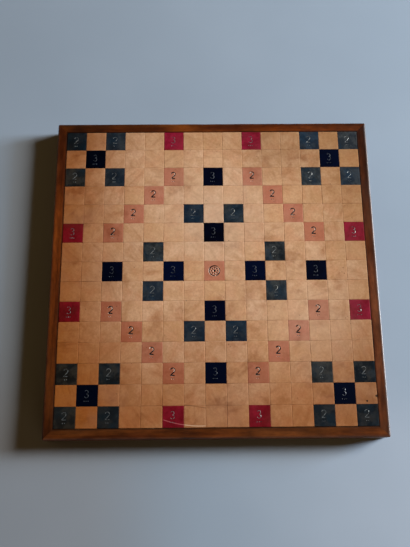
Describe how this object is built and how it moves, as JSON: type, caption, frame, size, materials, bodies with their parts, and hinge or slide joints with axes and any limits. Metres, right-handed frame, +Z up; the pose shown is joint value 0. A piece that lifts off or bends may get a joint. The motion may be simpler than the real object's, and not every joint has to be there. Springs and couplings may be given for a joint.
{
  "type": "word game board",
  "caption": "Square playing board for a word game: inlaid leather squares on a tongued core panel in a mitred wooden frame, with stiffening battens, a screwed base and a baize underside.",
  "frame": {"origin": "middle of the underside, on the surface that the board rests on", "axes": "+Z up out of the playing face, +Y from the front rail to the back rail, +X to the right"},
  "size_m": [0.352, 0.352, 0.022],
  "materials": {
    "frame_wood": "varnished, worn at the edges",
    "key_wood": "varnished",
    "plywood": "sanded",
    "batten_wood": "sawn",
    "brass": "bare",
    "baize": "napped wool cloth",
    "tan_leather": "natural, polished with use",
    "red_leather": "dyed, satin",
    "pink_leather": "dyed, satin",
    "navy_leather": "dyed, satin",
    "teal_leather": "dyed, satin"
  },
  "bodies": {
    "root": {"back_rail": "frame_wood", "base_lining": "baize", "base_panel": "plywood", "base_screws": "brass", "batten_1": "batten_wood", "batten_2": "batten_wood", "batten_3": "batten_wood", "centre_square": "pink_leather", "core_panel": "plywood", "front_rail": "frame_wood", "left_rail": "frame_wood", "mitre_key_back_left": "key_wood", "mitre_key_back_right": "key_wood", "mitre_key_front_left": "key_wood", "mitre_key_front_right": "key_wood", "navy_squares": "navy_leather", "pink_squares": "pink_leather", "red_squares": "red_leather", "right_rail": "frame_wood", "tan_squares_row_01": "tan_leather", "tan_squares_row_02": "tan_leather", "tan_squares_row_03": "tan_leather", "tan_squares_row_04": "tan_leather", "tan_squares_row_05": "tan_leather", "tan_squares_row_06": "tan_leather", "tan_squares_row_07": "tan_leather", "tan_squares_row_08": "tan_leather", "tan_squares_row_09": "tan_leather", "tan_squares_row_10": "tan_leather", "tan_squares_row_11": "tan_leather", "tan_squares_row_12": "tan_leather", "tan_squares_row_13": "tan_leather", "tan_squares_row_14": "tan_leather", "tan_squares_row_15": "tan_leather", "teal_squares": "teal_leather"}
  },
  "joints": []
}
